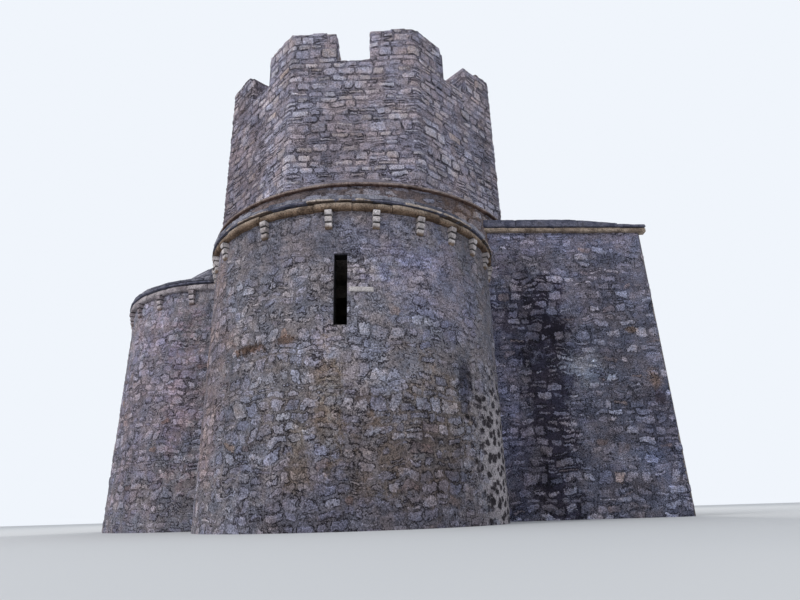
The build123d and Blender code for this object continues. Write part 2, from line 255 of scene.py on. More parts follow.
def masonry_courses(kind):
    """Rubble in wavering courses: each stone's edge, its own chance values and its relief."""
    takes = (("Along", 0.0), ("Up", 0.0), *MASONRY_SIZES)
    gives = [(label, "Float") for label in ("Edge", "Face", "Tone", "Warmth", "Height")]
    tree, given = new_group("masonry_courses_" + kind[:4].lower(), kind, takes, gives)
    course, length, waver = given["Course"], given["Length"], given["Waver"]
    place = point_at(given["Along"], given["Up"])
    sways = place.cloud(4.3, 1.0, out="Color").parts()
    nicks = place.cloud(21.0, out="Color").parts()
    along, up = (
        given[label] + ((nick - 0.5) * waver * 0.45 + (sway - 0.5) * waver * 2.2)
        for label, sway, nick in zip(("Along", "Up"), sways, nicks)
    )
    level = up / course
    uneven = {"W": level, "Scale": 0.55, "Detail": 0.0}
    level = put(tree, "ShaderNodeTexNoise", uneven, noise_dimensions="1D") * 0.9 + level
    row = level.step("FLOOR")
    share = level.step("FRACT")
    shift = put(tree, "ShaderNodeTexWhiteNoise", {"W": row}, "Value", noise_dimensions="1D")
    cells = {"W": along / length + (shift * 31.7 + row * 17.0), "Scale": 1.0, "Randomness": 0.85}
    sides, stone = (
        add_node(tree, "ShaderNodeTexVoronoi", cells, voronoi_dimensions="1D", feature=feature)
        for feature in ("DISTANCE_TO_EDGE", "F1")
    )
    to_side = Flow(tree, sides.outputs["Distance"]) * length
    chance = Flow(tree, stone.outputs["Color"]).parts()
    split = chance[0].step("LESS_THAN", given["Split"])
    doubled = share * 2.0
    half = doubled.step("FLOOR") * split
    share = doubled.step("FRACT") * split + share * (1.0 - split)
    tall = course * (split * -0.5 + 1.0)
    to_bed = share.least(1.0 - share) * tall
    key = point_at(chance[1] * 91.0, row, half)
    own = add_node(tree, "ShaderNodeTexWhiteNoise", {"Vector": key}, noise_dimensions="3D")
    tone = Flow(tree, own.outputs["Value"])
    bulge, warmth, covered = Flow(tree, own.outputs["Color"]).parts()
    corner = tall * 0.34
    short_x = (corner - to_side).most(0.0)
    short_y = (corner - to_bed).most(0.0)
    reach = (short_x * short_x + short_y * short_y).step("SQRT")
    beyond = (to_side.least(to_bed) - corner).most(0.0)
    edge = given["Joint"] * -0.5 + (corner - reach + beyond)
    mortar = place.cloud(2.6, 3.0, 0.6).ease(0.36, 0.64) * given["Smear"]
    edge = mortar * (covered * -0.055) + edge
    edge = (place.cloud(46.0, 2.0, 0.7) - 0.5) * (given["Ragged"] * 2.0) + edge
    lean = (warmth - 0.5) * (share - 0.5)
    proud = lean * 0.018 + (bulge * 0.013 + 0.007)
    height = (edge.ease(-0.01, 0.016) * proud).most(mortar * 0.011 + 0.001)
    return close_group(tree, edge, edge.ease(-0.001, 0.007), tone, warmth, height * given["Relief"])


masonry_for_shade = masonry_courses("ShaderNodeTree")
masonry_for_shape = masonry_courses("GeometryNodeTree")


def point_attribute(tree, name):
    return put(tree, "GeometryNodeInputNamedAttribute", {"Name": name}, data_type="FLOAT_VECTOR")


def lay_masonry():
    """Pushes a wall's facing out to the stones' faces and back into the joints."""
    takes = (("Facing", "Geometry"), *MASONRY_SIZES, ("Finish", "Material"))
    tree, given = new_group("lay_masonry", "GeometryNodeTree", takes, (("Facing", "Geometry"),))
    place = point_attribute(tree, "wall_place")
    along, up, strength = place.parts()
    feeds = {"Along": along, "Up": up, **{label: given[label] for label, _ in MASONRY_SIZES}}
    stones = put(tree, "GeometryNodeGroup", feeds, "Height", node_tree=masonry_for_shape)
    push = ((place.cloud(9.0, 3.0) - 0.5) * 0.016 + stones) * strength
    feeds = {0: point_attribute(tree, "outward"), "Scale": push.most(0.0)}
    move = put(tree, "ShaderNodeVectorMath", feeds, operation="SCALE")
    moved = put(tree, "GeometryNodeSetPosition", {"Geometry": given["Facing"], "Offset": move})
    whole = put(tree, "GeometryNodeRealizeInstances", {"Geometry": moved})
    feeds = {"Geometry": whole, "Material": given["Finish"]}
    return close_group(tree, put(tree, "GeometryNodeSetMaterial", feeds))


lay_tree = lay_masonry()


def roof_slabs_tree():
    """Lays one slab on every point of a roof, turned and sized by the point's own attributes."""
    takes = {"Places": "Geometry", "Slab": "Object", "Chips": "Float", "Seed": "Int", "Finish": "Material"}
    tree, given = new_group("lay_roof_slabs", "GeometryNodeTree", takes.items(), (("Slabs", "Geometry"),))
    feeds = {
        "Points": given["Places"],
        "Instance": put(tree, "GeometryNodeObjectInfo", {"Object": given["Slab"]}, "Geometry"),
        "Rotation": point_attribute(tree, "lie"),
        "Scale": point_attribute(tree, "spread"),
    }
    laid = put(tree, "GeometryNodeInstanceOnPoints", feeds)
    tone = put(tree, "FunctionNodeRandomValue", {"Seed": given["Seed"]}, 1, data_type="FLOAT")
    feeds = {"Geometry": laid, "Name": "own_tone", "Value": tone}
    toned = put(tree, "GeometryNodeStoreNamedAttribute", feeds, data_type="FLOAT", domain="INSTANCE")
    whole = put(tree, "GeometryNodeRealizeInstances", {"Geometry": toned})
    spot = put(tree, "GeometryNodeInputPosition").vector("ADD", given["Seed"])
    chip = spot.cloud(13.0, 3.0, out="Color").vector("SUBTRACT", (0.5, 0.5, 0.5))
    chip = put(tree, "ShaderNodeVectorMath", {0: chip, "Scale": given["Chips"]}, operation="SCALE")
    moved = put(tree, "GeometryNodeSetPosition", {"Geometry": whole, "Offset": chip})
    feeds = {"Geometry": moved, "Material": given["Finish"]}
    return close_group(tree, put(tree, "GeometryNodeSetMaterial", feeds))


slabs_tree = roof_slabs_tree()


# Finishes
def stone_grain():
    """Grain, pits and fine relief that all the stones share."""
    takes = (("Place", (0.0, 0.0, 0.0)), ("Coarse", 9.0), ("Fine", 85.0), ("Contrast", 1.0))
    gives = (("Shade", "Float"), ("Pits", "Float"), ("Height", "Float"))
    tree, given = new_group("stone_grain", "ShaderNodeTree", takes, gives)
    place = given["Place"]
    coarse = place.cloud(given["Coarse"], 6.0, 0.95)
    fine = place.cloud(given["Fine"], 2.0, 0.8)
    # The shade follows the same two noises as the height: the stone's grain, with painted shade in its small
    # hollows and painted light on its small bumps.
    shade = (fine - 0.5) * 4.0 + (coarse - 0.5) * 2.2
    shade = (shade * given["Contrast"] + 1.0).most(0.3).least(1.9)
    holes = {"Vector": place, "Scale": 30.0, "Randomness": 1.0}
    pits = put(tree, "ShaderNodeTexVoronoi", holes, "Distance").ease(0.16, 0.36, 1.0, 0.0)
    pits = pits * place.cloud(4.5, 3.0).ease(0.52, 0.62)
    return close_group(tree, shade, pits, pits * -0.008 + (coarse * 0.02 + fine * 0.004))


grain_group = stone_grain()


def new_finish(name):
    """A material with its shader, ready for its own nodes."""
    finish = bpy.data.materials.new(name)
    finish.use_nodes = True
    tree = finish.node_tree
    tree.nodes.clear()
    shader = add_node(tree, "ShaderNodeBsdfPrincipled", {"Roughness": 0.93, "Specular IOR Level": 0.25})
    add_node(tree, "ShaderNodeOutputMaterial", {"Surface": Flow(tree, shader.outputs[0])})
    return finish, tree, shader


def coat(tree, shader, colour, height, strength):
    """Give the shader its colour and relief."""
    bump = {"Height": height, "Strength": strength, "Distance": 1.0}
    feed(tree, shader.inputs["Base Color"], colour)
    feed(tree, shader.inputs["Normal"], put(tree, "ShaderNodeBump", bump))


def grained(tree, place, contrast):
    feeds = {"Place": place, "Contrast": contrast}
    return flows(tree, add_node(tree, "ShaderNodeGroup", feeds, node_tree=grain_group))


def stain_and_shade_patch(place, ragged, centre, size):
    """Mask round a point of the building, with a ragged border."""
    apart = place.vector("SUBTRACT", centre).vector("MULTIPLY", tuple(1.0 / s for s in size))
    far = put(place.tree, "ShaderNodeVectorMath", {0: apart}, "Value", operation="LENGTH")
    return (ragged * 3.2 + far).ease(0.5, 1.0, 1.0, 0.0)


def wall_finish(
    name, sizes, tones, mortar, gap, marks=(), grain=1.0, opened=0.45, line=1.0, thin=0.011, glint=0.6,
    warm=1.0, rust=0.0, film=0.0, film_rise=0.0, film_side=None, cracks=None, rim=None, reveal=None,
    worn_and_shaded_hollows=None, courses="wall",
):
    """Rubble wall: stones in their own tones, mortar between and over them, grain, stains, and painted light
    and shade.
    """
    finish, tree, shader = new_finish(name)
    place = put(tree, "ShaderNodeTexCoord", out="Object")
    spot = put(tree, "ShaderNodeAttribute", out="Vector", attribute_name="wall_place")
    along, up, level = (spot if courses == "wall" else place).parts()
    if courses == "round":
        along, up = up.step("ARCTAN2", along) * 1.9, level
    laid = {**sizes, "Along": along, "Up": up}
    laid = add_node(tree, "ShaderNodeGroup", laid, node_tree=masonry_for_shade)
    edge, face, tone, warmth, height = flows(tree, laid)
    shade, pits, relief = grained(tree, place, grain)

    # Stones, some of them warm or rusty
    bar = add_node(tree, "ShaderNodeValToRGB", {"Fac": tone})
    stops = bar.color_ramp.elements
    while len(stops) < len(tones):
        stops.new(0.5)
    for i, (stop, colour) in enumerate(zip(stops, tones)):
        stop.position = i / (len(tones) - 1)
        stop.color = linear(*colour)
    stone = Flow(tree, bar.outputs[0])
    stone = warmth.ease(0.72, 1.0, 0.0, warm).mix(stone, stone.times((1.1, 1.0, 0.88, 1.0)))
    stone = warmth.ease(0.965, 0.985, 0.0, rust).mix(stone, stone.times((0.8, 0.66, 0.54, 1.0)))

    # Mortar between them and, as a film, over them
    ragged = place.cloud(4.5, 6.0, 0.8) - 0.5
    wide = place.cloud(1.1, 4.0, 0.6, (1.0, 1.0, 0.45))
    bed = place.cloud(3.2, 5.0, 0.7).ease(0.4, 0.6).mix(*(linear(*colour) for colour in mortar))
    sideways, _, here = place.parts()
    cover = place.cloud(2.3, 4.0, 0.65) + here.ease(1.3, 2.5, 0.0, film_rise)
    if film_side:
        cover = cover + sideways.ease(-1.0, 0.8, -film_side, film_side)
    cover = cover.ease(0.56, 0.74, 0.0, film)
    bare = 1.0 - cover
    colour = (face * bare).mix(bed, stone)

    # Dark gaps and cracks, pale rims, and worn hollows with painted shade and light
    shut = place.cloud(7.5, 3.0, 0.65).ease(opened, opened + 0.1, 1.0, 0.08)
    crack = abs(edge).ease(0.002, thin, 1.0, 0.0) * shut * line * (cover * -0.4 + 1.0)
    if cracks:
        curl = abs(place.cloud(10.0, 3.0, 0.6) - 0.5).ease(0.004, 0.016, 1.0, 0.0)
        crack = crack.most(curl * place.cloud(5.5, 2.0, 0.6).ease(0.45, 0.55, 0.0, cracks))
    tinge = place.cloud(3.7, 4.0, 0.7).ease(0.36, 0.64)
    colour = colour.times(tinge.mix((0.93, 1.0, 1.07, 1.0), (1.07, 1.0, 0.92, 1.0)))
    colour = crack.mix(colour, linear(*gap))
    if rim:
        band = abs(edge - 0.013).ease(0.002, 0.008, 1.0, 0.0) * (1.1 - shut)
        band = band * place.cloud(8.5).ease(0.42, 0.56, 0.0, rim) * bare
        colour = band.mix(colour, colour.times((1.6, 1.6, 1.62, 1.0)))
    # Painted shade and light: where stones are worn back, their hollows are painted dark as if in shadow, and
    # the mortar ridges between them pale as if lit.
    if worn_and_shaded_hollows:
        wave = ragged * 2.0
        cells = {"Vector": point_at(along * 7.5 + wave, up * 12.5 + wave), "Scale": 1.0}
        cells = put(tree, "ShaderNodeTexVoronoi", cells, "Distance", voronoi_dimensions="2D")
        hollow = (ragged * 0.7 + cells).ease(0.3, 0.44, 1.0, 0.0)
        shaded_hollows_lit_ridges = hollow.mix(linear(158, 152, 156), linear(52, 47, 52)).times(wide.ease(0.3, 0.7, 0.8, 1.2))
        colour = stain_and_shade_patch(place, ragged, *worn_and_shaded_hollows).mix(colour, shaded_hollows_lit_ridges)

    # Grain with painted shade in its small hollows, streaks, glints, painted shade in the reveals, and stains
    # and patches of painted light and shade
    colour = (pits * 0.8).mix(colour, linear(*gap))
    streak = place.cloud(3.4, 4.0, 0.6, (1.0, 1.0, 0.14)).ease(0.32, 0.6, 0.9, 1.05)
    colour = colour.times(shade, wide.ease(0.3, 0.7, 0.84, 1.16), streak)
    glints = place.cloud(60.0, 3.0, 0.7).ease(0.56, 0.7, 0.0, glint)
    colour = glints.mix(colour, colour.times((1.7, 1.7, 1.7, 1.0)))
    # Painted shade: the colour darkens deeper into the slits' reveals.
    if reveal:
        deep = put(tree, "ShaderNodeAttribute", out="Vector", attribute_name="reveal").parts()[0]
        colour = colour.times(deep.ease(0.004, 0.05, 1.0, reveal))
    for centre, size, tint, share, *behind in marks:
        mark = stain_and_shade_patch(place, ragged, centre, size) * share
        if behind:
            mark = mark * (face * -behind[0] + 1.0)
        colour = mark.mix(colour, colour.times([2.0 * c for c in linear(*tint)[:3]] + [1.0]))
    coat(tree, shader, colour, crack * -0.004 + (height * 0.8 + relief), 0.9)
    return finish


TOWER_MASONRY = masonry(0.112, 0.19, 0.034, 0.011, 0.3, 0.45, 0.014, 0.9)
DRUM_MASONRY = masonry(0.13, 0.24, 0.05, 0.012, 0.25, 1.3, 0.024, 0.8)
APSE_MASONRY = masonry(0.094, 0.14, 0.08, 0.012, 0.12, 0.62, 0.026, 0.6)
ARM_MASONRY = masonry(0.104, 0.165, 0.07, 0.014, 0.25, 0.85, 0.032, 0.8)
PAVING = masonry(0.3, 0.42, 0.03, 0.012, 0.15, 0.1, 0.008, 0.4)
TOWER_TONES = (
    (134, 128, 142), (152, 145, 159), (174, 167, 179), (142, 136, 150), (184, 177, 187), (156, 147, 152),
    (138, 133, 148),
)
APSE_TONES = (
    (118, 116, 130), (136, 133, 147), (150, 146, 158), (126, 123, 137), (162, 158, 168), (140, 135, 142),
    (122, 120, 134),
)
# The arm's tones, and its mortar and gaps below, are darker than the apse's: black lichen, and painted shade
# for the shadow of the apse and the drum on the arm.
ARM_TONES = (
    (96, 95, 112), (114, 113, 130), (134, 132, 149), (106, 105, 120), (158, 156, 172), (122, 118, 130),
    (106, 105, 121),
)

# Marks: centre, size, tint, share and, for some, how much of it the stones' faces are spared
tower_rubble = wall_finish(
    "tower_rubble", TOWER_MASONRY, TOWER_TONES, ((138, 132, 144), (118, 112, 124)), (54, 50, 58),
    # Painted shade over the tower's left faces, against the key light from the left.
    (((-1.8, -1.15, 4.8), (0.75, 1.9, 2.6), (155, 152, 153), 0.95),),
    grain=1.3, warm=0.5,
)
drum_rubble = wall_finish(
    "drum_rubble", DRUM_MASONRY, APSE_TONES, ((118, 107, 109), (98, 89, 92)), (50, 44, 47),
    (((1.4, -1.6, 3.6), (0.45, 0.5, 0.25), (172, 155, 134), 0.7),),
    opened=0.42, line=0.8, glint=0.4, warm=0.6, cracks=0.7,
)
apse_rubble = wall_finish(
    "apse_rubble", APSE_MASONRY, APSE_TONES, ((132, 128, 136), (113, 110, 118)), (46, 42, 49),
    (
        ((-0.05, -3.3, 0.95), (0.14, 0.6, 0.6), (192, 180, 152), 0.55),
        ((0.25, -3.3, 0.55), (0.3, 0.6, 0.4), (184, 172, 148), 0.45),
        ((-0.3, -3.3, 0.6), (0.12, 0.6, 0.4), (184, 176, 150), 0.45),
        ((-0.79, -3.1, 1.52), (0.24, 0.4, 0.08), (128, 100, 76), 0.9),
        ((-0.45, -3.28, 1.55), (0.16, 0.4, 0.06), (136, 112, 92), 0.8),
        ((-0.12, -3.3, 1.5), (0.12, 0.4, 0.3), (214, 210, 212), 0.7),
        # Painted light: the front apse's left flank made paler and warmer, as lit from the left.
        ((-1.3, -2.6, 1.4), (0.35, 0.9, 1.6), (212, 196, 188), 0.7),
        # Painted shade: the foot of the front apse darkened, against the light that the pale floor throws up.
        ((0.3, -3.2, 0.1), (1.5, 1.1, 1.1), (153, 151, 155), 0.9),
        ((0.75, -3.1, 0.75), (0.6, 0.8, 0.75), (190, 178, 158), 0.7, 0.8),
        ((-0.4, -3.3, 1.0), (0.5, 0.6, 0.7), (198, 188, 172), 0.55, 0.8),
        ((1.12, -2.9, 1.2), (0.09, 0.3, 0.3), (110, 110, 122), 0.9),
        # Painted light and shade: paler towards the right of the apse's top, darker under the eaves in its
        # middle.
        ((0.6, -3.2, 2.42), (0.75, 0.7, 0.36), (205, 206, 212), 0.8),
        ((-0.1, -3.2, 2.5), (1.1, 0.6, 0.4), (172, 171, 174), 0.8),
        ((0.95, -3.0, 2.1), (0.7, 0.8, 0.6), (208, 208, 218), 0.8),
        # Painted light: the left apse made paler, and warmer on its front, as lit from the left.
        ((-2.0, -1.6, 1.5), (0.3, 0.5, 1.2), (200, 186, 184), 0.6),
        ((-2.6, -1.2, 1.4), (0.9, 1.0, 1.5), (212, 205, 208), 0.85),
        ((-2.7, -1.2, 2.4), (0.9, 1.0, 0.5), (210, 208, 210), 0.85),
    ),
    opened=0.47, thin=0.0075, warm=0.3, cracks=0.8, rim=0.9, reveal=0.06,
    # Worn-back stones on the apse's right flank, with painted shade in their hollows and painted light on the
    # ridges.
    worn_and_shaded_hollows=((1.45, -2.4, 0.6), (0.5, 0.86, 1.05)), film=0.72, film_rise=0.2, film_side=0.05, rust=0.9,
)
arm_rubble = wall_finish(
    "arm_rubble", ARM_MASONRY, ARM_TONES, ((106, 105, 119), (86, 85, 98)), (34, 33, 41),
    (
        ((2.25, -1.4, 1.2), (0.34, 0.8, 2.2), (98, 92, 104), 0.95, 0.68),
        ((2.1, -1.4, 2.4), (0.5, 0.8, 0.7), (122, 117, 127), 0.8, 0.6),
        ((1.9, -1.4, 0.5), (0.25, 0.8, 0.8), (136, 132, 136), 0.5, 0.5),
        ((2.66, -1.4, 1.66), (0.4, 0.6, 0.24), (246, 255, 250), 0.9),
        ((3.2, -1.4, 0.55), (0.35, 0.6, 0.2), (226, 232, 236), 0.8),
        ((3.48, -1.4, 1.5), (0.12, 0.5, 0.2), (200, 176, 148), 0.9),
        ((3.5, -1.4, 1.3), (0.1, 0.5, 0.12), (132, 120, 118), 0.8),
        ((3.32, -1.4, 2.11), (0.1, 0.5, 0.05), (204, 178, 146), 0.9),
        # Painted light: the arm made paler near its corner with the apse, against the shade there.
        ((1.75, -1.4, 1.4), (0.26, 0.8, 1.7), (210, 210, 218), 0.8),
        ((3.5, -1.4, 0.9), (0.4, 0.8, 0.9), (176, 178, 186), 0.8),
        ((2.6, -1.4, 3.35), (1.7, 0.6, 0.26), (226, 225, 230), 0.9),
        ((2.8, -1.4, 2.7), (0.9, 0.6, 0.5), (206, 205, 208), 0.7),
    ),
    grain=1.3, line=0.95, thin=0.009, glint=0.8, warm=0.3, cracks=0.8, rim=0.8, film=0.7, film_rise=0.07,
    rust=0.8,
)
paving_stone = wall_finish(
    "paving_stone", PAVING, APSE_TONES, ((108, 103, 104), (92, 88, 90)), (50, 47, 48),
    grain=0.6, opened=0.6, line=0.8, glint=0.2, courses="flat",
)
parapet_rubble = wall_finish(
    "parapet_rubble", TOWER_MASONRY, TOWER_TONES, ((138, 132, 144), (116, 110, 122)), (54, 50, 58),
    grain=0.9, opened=0.46, line=0.95, glint=0.4, courses="round",
)


def plain_stone_finish(name, dark, pale, grain=0.7, mark=None, lump=3.1, grooves=(), single=False, shaded_foot=None):
    """Dressed or split stone: two tones, grain with painted shade in its small hollows, pits, lichen, dark
    lines at groove levels with painted shade in the creases, and painted shade at its foot.
    """
    finish, tree, shader = new_finish(name)
    place = put(tree, "ShaderNodeTexCoord", out="Object")
    shade, pits, relief = grained(tree, place, grain)
    tones = place.cloud(lump, 4.0, 0.6)
    if single:
        own = put(tree, "ShaderNodeAttribute", out="Fac", attribute_name="own_tone")
        tones = (own - 0.5) * 0.34 + tones
    colour = tones.ease(0.36, 0.64).mix(linear(*dark), linear(*pale)).times(shade)
    colour = (pits * 0.6).mix(colour, linear(52, 48, 50))
    if mark:
        colour = place.cloud(7.0, 5.0, 0.7).ease(0.52, 0.66, 0.0, 0.8).mix(colour, linear(*mark))
    level = place.parts()[2]
    # Dark lines at the grooves' levels: the joints, with painted shade in the creases between the rolls.
    for groove in grooves:
        colour = colour.times(abs(level - groove).ease(0.003, 0.011, 0.12, 1.0))
    # Painted shade: a darker band at the foot, under a roll, a slab edge or a course; on the corbels the foot
    # is brown as well.
    if shaded_foot:
        low, high, foot_shade = shaded_foot
        colour = colour.times(level.ease(low, high).mix((*foot_shade, 1.0), (1.0, 1.0, 1.0, 1.0)))
    coat(tree, shader, colour, relief, 0.8)
    return finish


corbel_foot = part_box("front_apse_corbels")[0].z
corbel_grooves = [corbel_foot + (WALL_TOP - corbel_foot) * share for share in (0.335, 0.67, 0.985)]
# Painted shade, brownish, for the foot of the cornice roll and of the grey corbels.
SHADED_BROWN_FOOT = (0.5, 0.42, 0.36)
doorway_stone = plain_stone_finish("doorway_stone", (118, 105, 97), (162, 148, 138), 1.0, (82, 71, 65), 6.0)
# The cornice roll's lower part gets painted shade, as the underside of a half-round.
cornice_stone = plain_stone_finish(
    "cornice_stone", (124, 109, 97), (170, 154, 139), 1.0, (82, 70, 62), 6.0,
    shaded_foot=(WALL_TOP + 0.006, WALL_TOP + 0.062, SHADED_BROWN_FOOT),
)
grey_cornice_stone = plain_stone_finish(
    "grey_cornice_stone", (132, 124, 129), (174, 166, 169), 0.9, (104, 94, 94), 6.0
)
# The corbels' foot is brown, with painted shade beneath; their grooves carry painted shade.
corbel_stone = plain_stone_finish(
    "corbel_stone", (164, 155, 155), (216, 209, 209), 0.7, (150, 135, 124), 3.4, corbel_grooves,
    shaded_foot=(corbel_foot + 0.006, corbel_foot + 0.034, (0.42, 0.33, 0.25)),
)
# The grey corbels get the same painted shade at the foot and in the grooves.
grey_corbel_stone = plain_stone_finish(
    "grey_corbel_stone", (132, 122, 128), (184, 174, 178), 0.8, (118, 104, 102), 3.4, corbel_grooves,
    shaded_foot=(corbel_foot + 0.006, corbel_foot + 0.034, SHADED_BROWN_FOOT),
)
slab_stone = plain_stone_finish(
    "slab_stone", (88, 89, 102), (150, 149, 160), 0.8, (76, 74, 80), 5.0, single=True
)
# The slab edges get painted shade on their underside and in the recess below.
edge_stone = plain_stone_finish(
    "edge_stone", (152, 139, 130), (202, 188, 176), 0.8, (96, 86, 78), 7.0,
    shaded_foot=(SLAB_BED + 0.001, SLAB_BED + 0.005, (0.26, 0.23, 0.22)),
)
slate_edge_stone = plain_stone_finish(
    "slate_edge_stone", (70, 72, 88), (114, 114, 130), 0.8, (62, 60, 66), 7.0
)
pale_stone = plain_stone_finish("pale_stone", (176, 169, 169), (204, 198, 197), 0.5)
# The string course gets a painted shadow on its underside.
course_stone = plain_stone_finish(
    "course_stone", (116, 101, 97), (156, 141, 135), 1.0, (80, 69, 64), 6.0,
    shaded_foot=(DRUM_TOP + 0.004, DRUM_TOP + 0.012, (0.46, 0.36, 0.32)),
)
inner_plaster = plain_stone_finish("inner_plaster", (128, 122, 116), (164, 156, 147), 0.4, (100, 94, 88))
inner_rubble = plain_stone_finish("inner_rubble", (104, 98, 98), (142, 134, 132), 0.8, (78, 72, 70))
weather_mortar = plain_stone_finish("weather_mortar", (110, 105, 115), (140, 133, 141), 0.9, (88, 82, 84))


# Wall paths: a line on the ground, left to right as seen from outside
def bow(centre, radius, start, end, count=64):
    """Points of an arc, bearings in degrees."""
    turn = np.radians(np.linspace(start, end, count))
    return np.stack([centre[0] + radius * np.cos(turn), centre[1] + radius * np.sin(turn)], 1)


def rounded(points, radius):
    """A corner line with each inner corner rounded."""
    points = [np.array(p, float) for p in points]
    made = [points[0]]
    for before, corner, after in zip(points[:-2], points[1:-1], points[2:]):
        back = (before - corner) / np.linalg.norm(before - corner)
        ahead = (after - corner) / np.linalg.norm(after - corner)
        for share in np.linspace(0, 1, 7):
            first = corner + back * radius * (1 - share)
            last = corner + ahead * radius * share
            made.append(first * (1 - share) + last * share)
    return np.array(made + [points[-1]])


def follow(line, stations):
    """Places and outward directions at distances along a line."""
    line = np.array(line, float)
    runs = np.linalg.norm(np.diff(line, axis=0), axis=1)
    line = line[np.concatenate([[True], runs > 1e-6])]
    runs = np.linalg.norm(np.diff(line, axis=0), axis=1)
    reach = np.concatenate([[0], np.cumsum(runs)])
    heading = np.diff(line, axis=0) / runs[:, None]
    middle = np.concatenate([heading[:1], heading[:-1] + heading[1:], heading[-1:]])
    middle /= np.linalg.norm(middle, axis=1)[:, None]
    places, along = (
        np.stack([np.interp(stations, reach, values[:, i]) for i in (0, 1)], 1) for values in (line, middle)
    )
    along /= np.linalg.norm(along, axis=1)[:, None]
    return places, np.stack([along[:, 1], -along[:, 0]], 1)


def line_length(line):
    return float(np.linalg.norm(np.diff(np.array(line, float), axis=0), axis=1).sum())


def spaced(stops, step):
    """Even stations that also hit every stop."""
    stops = sorted(stops)
    made = [np.array([stops[0]])]
    for start, end in zip(stops[:-1], stops[1:]):
        count = max(1, round((end - start) / step))
        made.append(np.linspace(start, end, count + 1)[1:])
    return np.concatenate(made)


# Meshes
def mesh_piece(name, corners, faces, attributes=None, smooth=True):
    """An object at the origin from its corners and faces."""
    mesh = bpy.data.meshes.new(name)
    mesh.from_pydata(np.asarray(corners, float).tolist(), [], [list(f) for f in faces])
    for label, values in (attributes or {}).items():
        layer = mesh.attributes.new(label, "FLOAT_VECTOR", "POINT")
        layer.data.foreach_set("vector", np.asarray(values, np.float32).ravel())
    mesh.polygons.foreach_set("use_smooth", [smooth] * len(mesh.polygons))
    mesh.validate()
    mesh.update()
    piece = bpy.data.objects.new(name, mesh)
    bpy.context.scene.collection.objects.link(piece)
    return piece


def solid_piece(name, corners, faces, finish):
    """A flat-faced object whose faces are turned outwards."""
    piece = mesh_piece(name, corners, faces, smooth=False)
    kit = bmesh.new()
    kit.from_mesh(piece.data)
    bmesh.ops.recalc_face_normals(kit, faces=kit.faces)
    kit.to_mesh(piece.data)
    kit.free()
    piece.data.materials.append(finish)
    return piece


def run_faces(start, count, size):
    """Quads between the outlines of a run, each of so many corners, and its two ends."""
    faces = []
    for row in range(count - 1):
        for k in range(size):
            a, b = start + row * size + k, start + row * size + (k + 1) % size
            faces.append((a, b, b + size, a + size))
    last = start + (count - 1) * size
    return faces + [tuple(range(start + size - 1, start - 1, -1)), tuple(range(last, last + size))]


def grid_faces(columns, rows, gone=None):
    """Quads of a grid whose corner number is column times rows plus row."""
    c, r = (part.ravel() for part in np.meshgrid(np.arange(columns - 1), np.arange(rows - 1), indexing="ij"))
    if gone is not None:
        keep = ~gone(c, r)
        c, r = c[keep], r[keep]
    return np.stack([c * rows + r, (c + 1) * rows + r, (c + 1) * rows + r + 1, c * rows + r + 1], 1)


def settle(piece, tree, values):
    """Run a node tree on a piece and keep the result as its plain mesh."""
    modifier = piece.modifiers.new("shaping", "NODES")
    modifier.node_group = tree
    names = {s.name: s.identifier for s in tree.interface.items_tree if s.in_out == "INPUT"}
    for label, value in values.items():
        modifier[names[label]] = value
    graph = bpy.context.evaluated_depsgraph_get()
    shaped = piece.evaluated_get(graph)
    made = bpy.data.meshes.new_from_object(shaped, preserve_all_data_layers=True, depsgraph=graph)
    piece.modifiers.remove(modifier)
    old = piece.data
    piece.data = made
    made.name = piece.name
    bpy.data.meshes.remove(old)


def belong(piece, slot, *stands_for):
    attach(piece, "root")
    if stands_for:
        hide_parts(*stands_for)


def rim_strips(faces, border):
    """Open edges of a grid and how far they turn in to the wall: deep at holes, shallow elsewhere."""
    edges = dict.fromkeys((int(a), int(b)) for face in faces for a, b in zip(face, np.roll(face, -1)))
    outer, holes = [], []
    for a, b in edges:
        if (b, a) not in edges:
            (outer if border[a] and border[b] else holes).append((a, b))
    return ((outer, (0.006,)), (holes, (0.02, 0.05, 0.09, 0.14)))


def clad(name, base, outward, spots, border, sizes, finish, gone=None, stands_for=()):
    """A grid of corners pushed out stone by stone, its rims turned in to the wall."""
    columns, rows = base.shape[:2]
    faces = [grid_faces(columns, rows, gone)]
    corners, outwards, places = [base.reshape(-1, 3)], [outward.reshape(-1, 3)], [spots.reshape(-1, 3)]
    reveals = [np.zeros((columns * rows, 3))]
    count = columns * rows
    for edges, depths in rim_strips(faces[0], border.ravel()):
        points = sorted({p for edge in edges for p in edge})
        last = {p: p for p in points}
        for depth in depths if edges else ():
            corners.append(corners[0][points] - outwards[0][points] * depth)
            outwards.append(outwards[0][points])
            tag = places[0][points]
            tag[:, 1] += depth
            tag[:, 2] *= 0.35 if depth != depths[-1] else 0.0
            places.append(tag)
            reveals.append(np.full((len(points), 3), depth))
            new = {p: count + i for i, p in enumerate(points)}
            count += len(points)
            faces.append(np.array([[last[b], last[a], new[a], new[b]] for a, b in edges]))
            last = new
    layers = {"wall_place": places, "outward": outwards, "reveal": reveals}
    layers = {label: np.concatenate(values) for label, values in layers.items()}
    piece = mesh_piece(name, np.concatenate(corners), np.concatenate(faces), layers)
    settle(piece, lay_tree, {**sizes, "Finish": finish})
    piece.data.set_sharp_from_angle(angle=math.radians(48))
    belong(piece, "rubble_wall", *stands_for)


